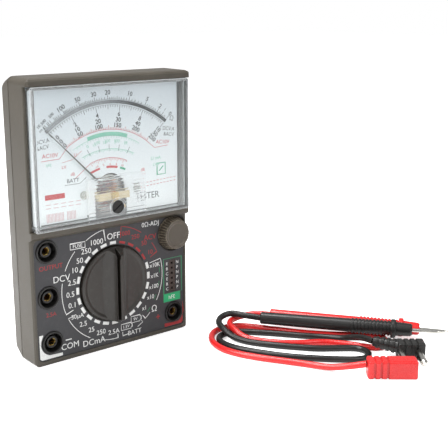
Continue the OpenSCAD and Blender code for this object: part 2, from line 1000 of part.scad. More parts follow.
module capacitors() {
    color("#27406b")
        on_face()
            for (x = [24, 32])
                at([x, 24])
                    rod(3.1, board_back - 8, board_back);
}

module fuse() {
    color("#e5ecef", 0.6)
        on_face()
            translate([6, 58, board_back - 3.6])
                rotate([0, 90, 0])
                    rod(2.4, 2.5, 17.5);
    color(metal_colour)
        on_face()
            translate([6, 58, board_back - 3.6])
                rotate([0, 90, 0])
                    for (end = [0, 15])
                        rod(2.6, end, end + 5);
}

module fuse_clips() {
    color(metal_colour)
        on_face()
            for (x = [6.6, 21.6])
                difference() {
                    box(x, x + 3.8, 54.9, 61.1, board_back - 4.6, board_back);
                    translate([x - 1, 58, board_back - 3.6])
                        rotate([0, 90, 0])
                            rod(2.6, 0, 6);
                    box(x - 1, x + 5, 56, 60, board_back - 6, board_back - 3.6);
                    box(x - 1, x + 5, 55.5, 60.5, board_back - 2.4, board_back - 0.5);
                }
}

module transistor_socket() {
    color("#7a4f35")
        on_face()
            difference() {
                box(socket_x - 2.25, socket_x + 2.25, socket_h - 9.35, socket_h + 9.35, -6, -0.1);
                for (k = [0:5])
                    translate([socket_x, socket_h - 2.5 * hole_pitch + k * hole_pitch, 0])
                        box(-0.65, 0.65, -0.65, 0.65, -5, 1);
            }
}

module socket_contacts() {
    color(metal_colour)
        on_face()
            for (k = [0:5])
                at([socket_x, socket_h - 2.5 * hole_pitch + k * hole_pitch])
                    rod(0.35, board_back - 0.8, -6);
}

// Black cups pressed into the front shell, each with a rim and a collar round its sleeve
module jack_insulators() {
    well_r = well_d / 2;
    collar_r = 3.2;
    color("#161514")
        on_face()
            for (spot = JACKS)
                at(spot)
                    rotate_extrude()
                        polygon([
                            [jack_bore / 2 + 0.2, -0.9], [collar_r, -0.9], [collar_r, -5.9], [well_r, -5.9],
                            [well_r, 0.6], [well_r + 0.3, 0.9], [well_r + 0.8, 0.9], [well_r + 1.1, 0.6],
                            [well_r + 1.1, -0.58], [well_r + 0.55, -0.58], [well_r + 0.55, -6.45],
                            [collar_r, -6.45], [collar_r, -7.85], [4.6, -7.85], [4.6, -8.15],
                            [2.55, -8.15], [2.55, -1.7], [jack_bore / 2 + 0.2, -1.7]
                        ]);
}

module jack_sleeve(spot) {
    color(metal_colour)
        on_face()
            at(spot)
                pipe(2.55, jack_bore / 2, -1.7 - sleeve_len, -1.7);
}

module jack_upper() {
    jack_sleeve(UPPER);
}

module jack_middle() {
    jack_sleeve(MIDDLE);
}

module jack_common() {
    jack_sleeve(COMMON);
}

module jack_positive() {
    jack_sleeve(POSITIVE);
}

// Two cells side by side, the second one turned end for end
module aa_cells() {
    color("#2f4f3a")
        on_face()
            for (k = [0, 1])
                translate([cell_x[k], cell_low + cell_len / 2, cell_z])
                    rotate([k == 0 ? -90 : 90, 0, 0]) {
                        rod(7.1, -cell_len / 2, cell_len / 2);
                        rod(2.6, cell_len / 2, cell_len / 2 + 1);
                    }
}

module cell_contacts() {
    color(metal_colour)
        on_face()
            for (k = [0, 1])
                for (end = [-1, 1])
                    translate([cell_x[k], cell_low + cell_len / 2 + end * (cell_len / 2 + 2.9), cell_z])
                        difference() {
                            box(-5, 5, -0.25, 0.25, -5, 5);
                            if ((end < 0) != (k == 0))
                                translate([0, 2, 0])
                                    rotate([90, 0, 0])
                                        rod(0.8, 0, 4);
                        }
    color(metal_colour)
        on_face()
            for (k = [0, 1])
                let (end = k == 0 ? 1 : -1)
                    translate([cell_x[k], cell_low + cell_len / 2 + end * (cell_len / 2 + 1.84), cell_z])
                        rotate([90, 0, 0])
                            rod(1.6, -0.82, 0.82);
}

module cell_springs() {
    color(metal_colour)
        on_face()
            for (k = [0, 1])
                let (end = k == 0 ? -1 : 1)
                    translate([cell_x[k], cell_low + cell_len / 2 + end * (cell_len / 2 + 0.3), cell_z])
                        rotate([end * -90, 0, 0])
                            tube(helix(3.4, 0.68, 3, 12), 0.28);
}

module square_battery() {
    color("#8b2f2a")
        on_face() {
            translate([(battery_box[0] + battery_box[1]) / 2, battery_box[2], -14.95])
                rotate([-90, 0, 0])
                    linear_extrude(battery_box[3] - battery_box[2])
                        round_rect(26.5, -8.75, 8.75, 1.6);
            for (x = [25.3, 38])
                translate([x, battery_box[3] - 0.1, -14.95])
                    rotate([-90, 0, 0])
                        rod(x < 30 ? 2.9 : 3.9, 0, 2.1);
        }
}

module battery_snap() {
    color("#1c1b1a")
        on_face() {
            box(battery_box[0], battery_box[1], battery_box[3] + 2.1, battery_box[3] + 4.4, -20.5, -9.4);
            for (x = [25.3, 38])
                translate([x, battery_box[3] + 0.2, -14.95])
                    rotate([-90, 0, 0])
                        pipe(x < 30 ? 3.7 : 4.7, x < 30 ? 3 : 4, 0, 2);
        }
}

module leads() {
    translate(LEADS_AT)
        rotate(LEADS_TURN)
            children();
}

// A probe is drawn along +x from the end where its cable goes in
module along_probe(spot, dip) {
    leads()
        translate(spot)
            rotate([0, dip, probe_turn])
                rotate([90, 0, 90])
                    children();
}

module probe_handle() {
    grip_r = grip_d / 2;
    difference() {
        union() {
            rotate_extrude()
                polygon([
                    [0, 0], [3.1, 0], [3.5, 0.5], [3.9, grip_start], [grip_r - 0.5, grip_start],
                    [grip_r - 0.5, guard_start], [5.1, guard_start], [5.4, guard_start + 0.6],
                    [5.4, guard_start + 2], [5, guard_start + 2.8], [4, guard_start + 3],
                    [3.6, nose_end - 1], [3, nose_end], [0, nose_end]
                ]);
            for (k = [0:10])
                rod(grip_r, grip_start + 0.8 + k * 2.05, grip_start + 2 + k * 2.05);
        }
        rod(1, nose_end - 12, nose_end + 1);
    }
}

module probe_tip() {
    rotate_extrude()
        polygon([
            [0, nose_end - 12], [1, nose_end - 12], [1, tip_end - 4], [0.15, tip_end], [0, tip_end]
        ]);
}

// The right-angled plug: its cable comes in at the low x end and its pin leaves along y
module plug_body(length) {
    difference() {
        hull() {
            for (x = [plug_round, length - plug_round], y = [plug_round, plug_w - 0.8 - plug_round],
                 z = [plug_round, plug_w - plug_round])
                translate([x, y, z])
                    sphere(plug_round, $fn = 16);
        }
        for (k = [0:2])
            difference() {
                box(3 + 3.4 * k, 4.2 + 3.4 * k, -1, plug_w, -1, plug_w + 1);
                box(2, 13, 0.7, plug_w - 1.5, 0.7, plug_w - 0.7);
            }
    }
}

module plug_pin() {
    rotate([90, 0, 0]) {
        rod(plug_pin_d / 2, 0, pin_len - 1.5);
        translate([0, 0, pin_len - 1.5])
            cylinder(r1 = plug_pin_d / 2, r2 = 1.1, h = 1.5);
    }
}

module red_cable() {
    color("#c3272b")
        leads()
            tube(RED_ROUTE, cable_d / 2);
}

module black_cable() {
    color("#232120")
        leads()
            tube(BLACK_ROUTE, cable_d / 2);
}

module red_probe() {
    color("#c3272b")
        along_probe(RED_PROBE_AT, red_dip)
            probe_handle();
}

module black_probe() {
    color("#232120")
        along_probe(BLACK_PROBE_AT, black_dip)
            probe_handle();
}

module red_tip() {
    color(metal_colour)
        along_probe(RED_PROBE_AT, red_dip)
            probe_tip();
}

module black_tip() {
    color(metal_colour)
        along_probe(BLACK_PROBE_AT, black_dip)
            probe_tip();
}

module red_plug() {
    color("#d8302f")
        leads()
            translate([35, -20.5, 0])
                plug_body(26);
}

module red_plug_pin() {
    color(metal_colour)
        leads()
            translate([56.5, -11.3, 5])
                rotate(180)
                    plug_pin();
}

// The black plug has a ribbed strain relief that climbs over the cables beside it
module black_plug() {
    color("#232120")
        leads() {
            translate([55, 4.5, 0])
                plug_body(15);
            translate([43, 14.5, 7.5])
                rotate([0, 5, -20])
                    rotate([90, 0, 90]) {
                        cylinder(r1 = 2.6, r2 = 3.6, h = 14);
                        for (k = [0:3])
                            rod(3.2 + 0.25 * k, 1.4 + 3 * k, 3 + 3 * k);
                    }
        }
}

module black_plug_pin() {
    color(metal_colour)
        leads()
            translate([66, 4.5, 5])
                plug_pin();
}

front_case();
rear_case();
meter_window();
panel_plate();
case_screws();
dial_plate();
scale_mirror();
dial_screws();
movement_frame();
movement_bridge();
yoke_ring();
core_magnet();
bearing_screws();
moving_coil();
coil_staffs();
pointer();
pointer_weight();
front_hairspring();
rear_hairspring();
zero_arm();
zero_screw();
selector_knob();
selector_rotor();
rotor_wipers();
rotor_screw();
detent_balls();
detent_springs();
adjuster_knob();
adjuster_shaft();
adjuster_body();
circuit_board();
switch_tracks();
board_screws();
resistors();
capacitors();
diodes();
fuse();
fuse_clips();
transistor_socket();
socket_contacts();
jack_insulators();
jack_upper();
jack_middle();
jack_common();
jack_positive();
aa_cells();
cell_contacts();
cell_springs();
square_battery();
battery_snap();
red_cable();
red_probe();
red_tip();
red_plug();
red_plug_pin();
black_cable();
black_probe();
black_tip();
black_plug();
black_plug_pin();
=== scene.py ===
"""Looks of an analog multimeter and its two test leads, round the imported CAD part."""
import json
import math

import bmesh
import bpy
from mathutils import Matrix, Vector


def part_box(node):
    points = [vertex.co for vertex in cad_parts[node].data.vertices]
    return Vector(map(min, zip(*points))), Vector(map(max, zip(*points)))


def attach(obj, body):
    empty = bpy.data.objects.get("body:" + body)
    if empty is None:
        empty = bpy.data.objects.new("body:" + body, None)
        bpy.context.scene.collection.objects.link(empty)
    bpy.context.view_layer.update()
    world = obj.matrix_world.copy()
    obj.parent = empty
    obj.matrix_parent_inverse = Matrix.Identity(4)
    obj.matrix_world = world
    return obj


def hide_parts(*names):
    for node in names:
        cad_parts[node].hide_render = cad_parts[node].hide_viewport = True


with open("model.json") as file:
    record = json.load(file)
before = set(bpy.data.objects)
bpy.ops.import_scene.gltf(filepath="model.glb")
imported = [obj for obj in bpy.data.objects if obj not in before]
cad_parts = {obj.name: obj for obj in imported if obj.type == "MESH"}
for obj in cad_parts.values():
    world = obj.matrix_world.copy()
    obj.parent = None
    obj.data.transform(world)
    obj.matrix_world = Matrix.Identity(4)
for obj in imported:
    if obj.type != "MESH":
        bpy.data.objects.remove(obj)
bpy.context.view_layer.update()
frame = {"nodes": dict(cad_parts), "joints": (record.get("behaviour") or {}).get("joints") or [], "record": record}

MM = 0.001
PIVOTS = {joint["child"]: joint.get("pos_m") for joint in frame["joints"]}
KNOB_AT = Vector(PIVOTS["selector"])
PIVOT_RISE = (PIVOTS["moving_system"][2] - KNOB_AT.z) / MM
PANEL_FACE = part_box("panel_plate")[0].y
DIAL_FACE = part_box("dial_plate")[0].y
COVER_LOW, COVER_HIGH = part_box("meter_window")
COVER_SIDE_WALL = 0.00235
COVER_FOOT_WALL = 0.0021
COVER_HEAD_WALL = 0.0016
PATCH_HALF_WIDTH = 0.018
PATCH_HEIGHT = 0.0244
PLASTIC_IOR = 1.47
INK_THICKNESS = 0.00003
WORLD_LIGHT = 0.46


# ---------------------------------------------------------------- camera

CAMERA_AT = Vector((-0.2507, -0.4087, 0.1884))
CAMERA_LOOKS = Vector((0.6187, 0.7469, -0.2436))
CAMERA_RIGHT = Vector((0.7707, -0.6371, 0.0040))


def make_camera():
    data = bpy.data.cameras.new("camera")
    data.sensor_width = 36
    data.lens = 71.1
    data.clip_start = 0.01
    camera = bpy.data.objects.new("camera", data)
    bpy.context.scene.collection.objects.link(camera)
    up = CAMERA_RIGHT.cross(CAMERA_LOOKS)
    turn = Matrix((CAMERA_RIGHT, up, -CAMERA_LOOKS)).transposed()
    camera.matrix_world = Matrix.Translation(CAMERA_AT) @ turn.to_4x4()
    bpy.context.scene.camera = camera


# ---------------------------------------------------------------- materials

def rgb(code):
    """A screen colour such as #a08040 as linear values."""
    parts = [int(code[i:i + 2], 16) / 255 for i in (1, 3, 5)]
    return [c / 12.92 if c <= 0.04045 else ((c + 0.055) / 1.055) ** 2.4 for c in parts] + [1]


class Nodes:
    """A material with short calls for adding and joining its nodes."""

    def __init__(self, name):
        self.material = bpy.data.materials.new(name)
        self.material.use_nodes = True
        self.tree = self.material.node_tree
        self.tree.nodes.clear()
        self.out = self.tree.nodes.new("ShaderNodeOutputMaterial")

    def add(self, kind, inputs=(), **settings):
        node = self.tree.nodes.new("ShaderNode" + kind)
        for key, value in settings.items():
            setattr(node, key, value)
        for key, value in dict(inputs).items():
            if isinstance(value, bpy.types.NodeSocket):
                self.tree.links.new(value, node.inputs[key])
            else:
                node.inputs[key].default_value = value
        return node

    def math(self, operation, a, b=0.0):
        return self.add("Math", {0: a, 1: b}, operation=operation).outputs[0]

    def coordinates(self, stretch=(1, 1, 1)):
        place = self.add("TexCoord").outputs["Object"]
        return self.add("Mapping", {"Vector": place, "Scale": stretch}).outputs[0]

    def axes(self):
        """The point's x, y and z in metres."""
        return self.add("SeparateXYZ", {0: self.coordinates()}).outputs

    def noise(self, size, detail=3.0, stretch=(1, 1, 1), rough=0.5):
        """Noise between 0 and 1 whose features are about size metres wide."""
        inputs = {"Vector": self.coordinates(stretch), "Scale": 1 / size, "Detail": detail,
                  "Roughness": rough}
        return self.add("TexNoise", inputs).outputs["Fac"]

    def between(self, fac, low, high, start=0.3, end=0.7):
        """fac, from start to end, mapped to the range low to high."""
        inputs = {"Value": fac, "From Min": start, "From Max": end, "To Min": low, "To Max": high}
        return self.add("MapRange", inputs).outputs["Result"]

    def inside(self, value, low, high):
        """1 where the value lies between low and high, else 0."""
        above = self.math("GREATER_THAN", value, low)
        return self.math("MULTIPLY", above, self.math("LESS_THAN", value, high))

    def blend(self, fac, a, b):
        node = self.add("Mix", data_type="RGBA")
        for index, value in ((0, fac), (6, a), (7, b)):
            if isinstance(value, bpy.types.NodeSocket):
                self.tree.links.new(value, node.inputs[index])
            else:
                node.inputs[index].default_value = value
        return node.outputs[2]

    def finish(self, shader):
        self.tree.links.new(shader, self.out.inputs["Surface"])
        return self.material


def edge_mask(nodes, radius):
    """1 along sharp edges and 0 on flat stretches."""
    bevel = nodes.add("Bevel", {"Radius": radius}, samples=4).outputs[0]
    flat = nodes.add("NewGeometry").outputs["Normal"]
    level = nodes.add("VectorMath", {0: bevel, 1: flat}, operation="DOT_PRODUCT").outputs["Value"]
    return nodes.between(level, 1.0, 0.0, 0.80, 0.995), bevel


def surface(name, colour, rough=0.45, metal=0.0, grain=0.0004, depth=0.00003, vary=0.12,
            blotch=0.02, edge_wear_and_highlight=0.25, radius=0.00025, stretch=(1, 1, 1), coat=0.0, specular=0.5,
            dust=0.06):
    """A moulded or machined surface: cloudy colour, fine grain, dust, and lighter edges that are partly wear from
    rubbing and partly painted highlight.
    """
    nodes = Nodes(name)
    base = rgb(colour)
    light = [min(1, c * (1 + 2.2 * vary) + 0.004) for c in base[:3]] + [1]
    dark = [c * (1 - 1.4 * vary) for c in base[:3]] + [1]
    rubbed_and_highlit = [min(1, c * (1 + 3 * edge_wear_and_highlight) + 0.03 * edge_wear_and_highlight) for c in base[:3]] + [1]
    dusty = [min(1, c * 0.6 + 0.22) for c in base[:3]] + [1]
    clouds = nodes.between(nodes.noise(blotch, 4), 0, 1)
    grains = nodes.noise(grain, 2, stretch)
    specks = nodes.between(nodes.noise(grain * 6, 4, stretch, 0.7), 0, dust, 0.52, 0.78)
    sharp_edges, rounded = edge_mask(nodes, radius)
    scuffs = nodes.between(nodes.noise(0.004, 4), 0.15, 1, 0.4, 0.65)
    tone = nodes.blend(clouds, dark, light)
    # Lighter edges: partly wear from rubbing, partly painted highlight.
    tone = nodes.blend(nodes.math("MULTIPLY", nodes.math("MULTIPLY", sharp_edges, scuffs), edge_wear_and_highlight), tone, rubbed_and_highlit)
    tone = nodes.blend(specks, tone, dusty)
    spread = nodes.math("MULTIPLY", nodes.between(grains, -0.1, 0.1), 0.6)
    roughness = nodes.math("ADD", nodes.between(clouds, rough - 0.05, rough + 0.06, 0, 1), spread)
    bump = nodes.add("Bump", {"Height": grains, "Strength": 0.6, "Distance": depth, "Normal": rounded})
    shader = nodes.add("BsdfPrincipled", {
        "Base Color": tone, "Roughness": roughness, "Metallic": metal, "Normal": bump.outputs[0],
        "Coat Weight": coat, "Coat Roughness": 0.15, "Specular IOR Level": specular,
    })
    return nodes.finish(shader.outputs[0])


def clear_plastic():
    """Clear moulded plastic: bent light in its walls and ribbed patch, and painted highlights that make it bright
    along its edges.
    """
    nodes = Nodes("clear_plastic")
    across, _, height = nodes.axes()
    left = COVER_LOW.x + COVER_SIDE_WALL
    right = COVER_HIGH.x - COVER_SIDE_WALL
    foot = COVER_LOW.z + COVER_FOOT_WALL
    head = COVER_HIGH.z - COVER_HEAD_WALL
    front = nodes.math("MULTIPLY", nodes.inside(across, left, right),
                       nodes.inside(height, foot, head))
    walls = nodes.math("SUBTRACT", 1.0, front)
    patch = nodes.math("MULTIPLY", nodes.inside(across, -PATCH_HALF_WIDTH, PATCH_HALF_WIDTH),
                       nodes.inside(height, foot, COVER_LOW.z + PATCH_HEIGHT))
    sharp_edges = edge_mask(nodes, 0.0003)[0]
    haze = nodes.between(nodes.noise(0.03, 3), 0.0, 0.014)
    specks = nodes.between(nodes.noise(0.0007, 2), 0, 0.35, 0.75, 0.8)
    haze_and_highlight = nodes.math("ADD", haze, specks)
    # Painted highlight: white diffuse along the sharp edges; a faint milky haze on the walls, the ribbed patch and
    # the front.
    for part, share in ((walls, 0.07), (patch, 0.1), (sharp_edges, 0.75)):
        haze_and_highlight = nodes.math("ADD", haze_and_highlight, nodes.math("MULTIPLY", part, share))
    glass = nodes.add("BsdfGlass", {"Color": rgb("#f9fbfb"), "IOR": PLASTIC_IOR,
                                    "Roughness": nodes.math("MULTIPLY", patch, 0.1)})
    through = nodes.add("BsdfTransparent", {"Color": rgb("#f8fafa")})
    gloss = nodes.add("BsdfGlossy", {"Color": rgb("#ffffff"), "Roughness": 0.02})
    mirror = nodes.add("Fresnel", {"IOR": PLASTIC_IOR}).outputs[0]
    sheet = nodes.add("MixShader", {0: mirror, 1: through.outputs[0], 2: gloss.outputs[0]})
    bends = nodes.math("MAXIMUM", walls, patch)
    clear = nodes.add("MixShader", {0: bends, 1: sheet.outputs[0], 2: glass.outputs[0]})
    haze_and_highlight_white = nodes.add("BsdfDiffuse", {"Color": rgb("#e3e6e8")})
    body = nodes.add("MixShader", {0: haze_and_highlight, 1: clear.outputs[0], 2: haze_and_highlight_white.outputs[0]})
    path = nodes.add("LightPath")
    lamp = nodes.math("MAXIMUM", path.outputs["Is Shadow Ray"], path.outputs["Is Diffuse Ray"])
    mixed = nodes.add("MixShader", {0: lamp, 1: body.outputs[0], 2: through.outputs[0]})
    return nodes.finish(mixed.outputs[0])


def fuse_glass():
    """Clear tube with its metal caps, seen as a pale smeared gloss."""
    nodes = Nodes("fuse_glass")
    smears = nodes.between(nodes.noise(0.002, 3), 0.08, 0.3)
    metal = nodes.add("BsdfPrincipled", {"Base Color": rgb("#cfcfca"), "Metallic": 0.4,
                                         "Roughness": smears})
    through = nodes.add("BsdfTransparent", {"Color": rgb("#e6eeee")})
    mixed = nodes.add("MixShader", {0: 0.55, 1: through.outputs[0], 2: metal.outputs[0]})
    return nodes.finish(mixed.outputs[0])


def dial_paint():
    """Silvery white printed plate with a very fine brushed sparkle and painted shade towards the top."""
    nodes = Nodes("dial_paint")
    fibres = nodes.noise(0.0006, 3, (1, 1, 8))
    # Painted shade: the plate is greyer towards the top and whiter towards the bottom.
    painted_shade_to_top = nodes.between(nodes.axes()[2], 1, 0, 0.08, 0.14)
    clouds = nodes.between(nodes.noise(0.05, 3), -0.1, 0.1)
    tone = nodes.blend(nodes.math("ADD", painted_shade_to_top, clouds), rgb("#d3d7dd"), rgb("#f3f4f5"))
    tone = nodes.blend(nodes.between(fibres, 0, 0.25), tone, rgb("#b9bdc3"))
    bump = nodes.add("Bump", {"Height": fibres, "Strength": 0.25, "Distance": 0.00001})
    shader = nodes.add("BsdfPrincipled", {"Base Color": tone, "Metallic": 0.15,
                                          "Roughness": nodes.between(fibres, 0.38, 0.5),
                                          "Normal": bump.outputs[0]})
    return nodes.finish(shader.outputs[0])


def mirror_strip():
    """Polished strip with a painted reflection, pale on its left and dark on its right."""
    nodes = Nodes("mirror_strip")
    # Painted reflection: the colour goes from pale on the left to dark on the right.
    painted_reflection = nodes.between(nodes.axes()[0], 0, 1, -0.004, 0.014)
    smears = nodes.noise(0.003, 3)
    tone = nodes.blend(painted_reflection, rgb("#96979a"), rgb("#3a3c3f"))
    tone = nodes.blend(nodes.between(smears, 0, 0.2), tone, rgb("#808286"))
    shader = nodes.add("BsdfPrincipled", {"Base Color": tone, "Metallic": 0.5,
                                          "Roughness": nodes.between(smears, 0.14, 0.24)})
    return nodes.finish(shader.outputs[0])


def ink(name, colour, rough=0.5, vary=0.08):
    """Screen-printed ink: slightly uneven cover and a soft gloss."""
    nodes = Nodes(name)
    base = rgb(colour)
    thin = [c * (1 - 2 * vary) for c in base[:3]] + [1]
    cover = nodes.between(nodes.noise(0.0006, 3), 0, 1)
    tone = nodes.blend(cover, thin, base)
    bump = nodes.add("Bump", {"Height": cover, "Strength": 0.2, "Distance": 0.00001})
    shader = nodes.add("BsdfPrincipled", {"Base Color": tone, "Roughness": rough,
                                          "Normal": bump.outputs[0]})
    return nodes.finish(shader.outputs[0])


def make_materials():
    steel = dict(rough=0.22, metal=1.0, grain=0.0005, depth=0.000008, vary=0.05, stretch=(6, 1, 1),
                 dust=0.02, edge_wear_and_highlight=0.1)
    return {
        "case_plastic": surface("case_plastic", "#3f3a31", 0.45, grain=0.00035, depth=0.00003,
                                vary=0.05, edge_wear_and_highlight=0.3, radius=0.0005, dust=0.05),
        "clear_plastic": clear_plastic(),
        "panel_paint": surface("panel_paint", "#29292c", 0.5, grain=0.0005, depth=0.00001, vary=0.06,
                               dust=0.04),
        "steel": surface("steel", "#c9c7c1", **steel),
        "dial_paint": dial_paint(),
        "mirror_strip": mirror_strip(),
        "beige_plastic": surface("beige_plastic", "#c9b48a", 0.45, vary=0.08),
        "dark_metal": surface("dark_metal", "#55534f", 0.4, 0.5, vary=0.1),
        "magnet": surface("magnet", "#6d281f", 0.35, vary=0.15, coat=0.3),
        "brass": surface("brass", "#d9b76a", 0.28, 1.0, depth=0.00001, vary=0.1),
        "copper": surface("copper", "#c0703c", 0.3, 1.0, 0.0002, 0.00003, 0.15, stretch=(1, 1, 9)),
        "pointer_paint": surface("pointer_paint", "#55534f", 0.4, 0.3, depth=0.000004, vary=0.05),
        "knob_plastic": surface("knob_plastic", "#211d18", 0.4, grain=0.0004, depth=0.00002,
                                vary=0.06, edge_wear_and_highlight=0.35, radius=0.0004),
        # Painted highlight: the adjuster's ribs get strongly lighter edges.
        "adjuster_plastic": surface("adjuster_plastic", "#453e34", 0.42, grain=0.0004,
                                    depth=0.00002, vary=0.06, edge_wear_and_highlight=1.4, radius=0.0005),
        "black_plastic": surface("black_plastic", "#161514", 0.36, grain=0.0005, depth=0.00002,
                                 vary=0.12, edge_wear_and_highlight=0.3, dust=0.02, specular=0.35),
        "board": surface("board", "#9c7a3c", 0.4, vary=0.12, coat=0.3),
        "blue_sleeve": surface("blue_sleeve", "#22406f", 0.25, vary=0.05, coat=0.5),
        "fuse_glass": fuse_glass(),
        "brown_plastic": surface("brown_plastic", "#2f231d", 0.5, vary=0.1),
        "cell_jacket": surface("cell_jacket", "#2f4638", 0.3, vary=0.08, coat=0.4),
        "red_plastic": surface("red_plastic", "#c31414", 0.3, grain=0.0005, depth=0.000015,
                               vary=0.06, edge_wear_and_highlight=0.15, dust=0.03, specular=0.55),
    }


def paint_nodes(materials):
    for part in frame["record"]["subparts"]:
        node = frame["nodes"][part["node"]]
        for slot in node.material_slots:
            slot.material = materials[part["material_slot"]]
    # The movement's frame shows dark behind the ribbed patch
    for slot in frame["nodes"]["movement_frame"].material_slots:
        slot.material = materials["dark_metal"]


# ---------------------------------------------------------------- cables

LEADS_AT = Vector((62, -93, 0))
LEADS_TURN = math.radians(-40)
CABLE_D = 3.6
RED_ROUTE = [
    (35, -15, 6.5), (26, -13, 4.4), (16, -9.5, 2.4), (5, -4.5, 1.8), (-7, -0.5, 1.8),
    (-19, 3.5, 1.8), (-30, 8.5, 1.8), (-39, 15, 1.8), (-44.5, 23.5, 1.8), (-46.5, 33, 1.8),
    (-45, 42, 1.8), (-39.5, 49, 1.8), (-31, 52, 1.8), (-20, 50, 1.8), (-8, 46, 1.8),
    (5, 42, 1.8), (18, 39.5, 1.8), (31, 38.5, 1.8), (42, 38.8, 1.8), (50, 36.6, 1.8),
    (52.6, 30, 1.8), (51.4, 23, 1.8), (46, 19.2, 1.8), (39, 21, 1.8),
    (29, 24.5, 1.8), (17, 27, 1.8), (5, 25.8, 1.8), (-7, 26, 1.8), (-18, 28.5, 1.8),
    (-27, 32, 2.4), (-33, 37, 4.8), (-36, 43.5, 6), (-35, 50.5, 6), (-29.5, 56, 6.4),
    (-21, 57.4, 7.6), (-12, 55.5, 7.8),
]
BLACK_ROUTE = [
    (43, 14.5, 7.5), (38.5, 20.5, 7), (33.5, 26.5, 5), (27, 31.5, 2.6), (17, 35, 1.8),
    (5, 37, 1.8), (-7, 39.5, 1.8), (-19, 41.5, 1.8), (-30, 42.5, 1.8), (-38, 39.8, 1.8),
    (-42, 33.5, 1.8), (-40.5, 25.5, 1.8), (-34, 18.5, 1.8), (-25, 13.5, 1.8), (-14, 9, 1.8),
    (-2, 5.5, 1.8), (10, 3.5, 1.8), (22, 2.4, 1.8), (32, 2.4, 1.8), (37.7, 4.7, 1.8),
    (40, 10.4, 1.8), (37.7, 16.1, 1.8), (32, 18.4, 1.8), (22, 18, 1.8), (12, 17.6, 1.8),
    (3, 19, 1.8),
    (-7, 21, 1.8), (-18, 24, 1.8), (-27, 27.5, 1.9), (-34.5, 32, 3), (-39.8, 37, 5.8),
    (-42.5, 43.5, 7.4), (-40.5, 49, 8.8), (-35, 51.5, 9.8), (-26.5, 49, 9.4), (-18, 47, 8.8),
]


def on_table(point):
    """A point of the leads' own frame, in millimetres, as a place in the row frame."""
    return (LEADS_AT + Matrix.Rotation(LEADS_TURN, 3, "Z") @ Vector(point)) * MM


def smooth_line(points, steps=10):
    """A smooth curve through all the points."""
    ends = [points[0] * 2 - points[1], *points, points[-1] * 2 - points[-2]]
    line = []
    for a, b, c, d in zip(ends, ends[1:], ends[2:], ends[3:]):
        for k in range(steps):
            t = k / steps
            line.append(0.5 * (2 * b + (c - a) * t + (2 * a - 5 * b + 4 * c - d) * t ** 2
                               + (3 * b - a - 3 * c + d) * t ** 3))
    return line + [points[-1]]


def make_cable(name, route, material, node):
    line = smooth_line([on_table(point) for point in route])
    data = bpy.data.curves.new(name, "CURVE")
    data.dimensions = "3D"
    data.bevel_depth = CABLE_D / 2 * MM
    data.bevel_resolution = 5
    data.use_fill_caps = True
    spline = data.splines.new("POLY")
    spline.points.add(len(line) - 1)
    for point, place in zip(spline.points, line):
        point.co = (*place, 1)
    spline.use_smooth = True
    data.materials.append(material)
    cable = bpy.data.objects.new(name, data)
    bpy.context.scene.collection.objects.link(cable)
    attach(cable, "test_leads")
    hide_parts(node)
    return cable


def make_cables(materials):
    red = make_cable("red_lead_cable", RED_ROUTE, materials["red_plastic"], "red_cable")
    black = make_cable("black_lead_cable", BLACK_ROUTE, materials["black_plastic"], "black_cable")


# ---------------------------------------------------------------- prints

CAP_HEIGHT = 0.682  # of the built-in font at size 1


def polar(radius, angle, centre=(0, 0)):
    """The point at that radius, angle degrees clockwise from straight up."""
    a = math.radians(angle)
    return (centre[0] + radius * math.sin(a), centre[1] + radius * math.cos(a))


def arc(radius, start, end, centre=(0, 0), step=2.5):
    count = max(2, math.ceil(abs(end - start) / step))
    return [polar(radius, start + (end - start) * k / count, centre) for k in range(count + 1)]


def turned(points, angle, to):
    """Points turned clockwise by angle and moved so that their origin lies on to."""
    a = math.radians(angle)
    return [(to[0] + x * math.cos(a) + y * math.sin(a), to[1] - x * math.sin(a) + y * math.cos(a))
            for x, y in points]


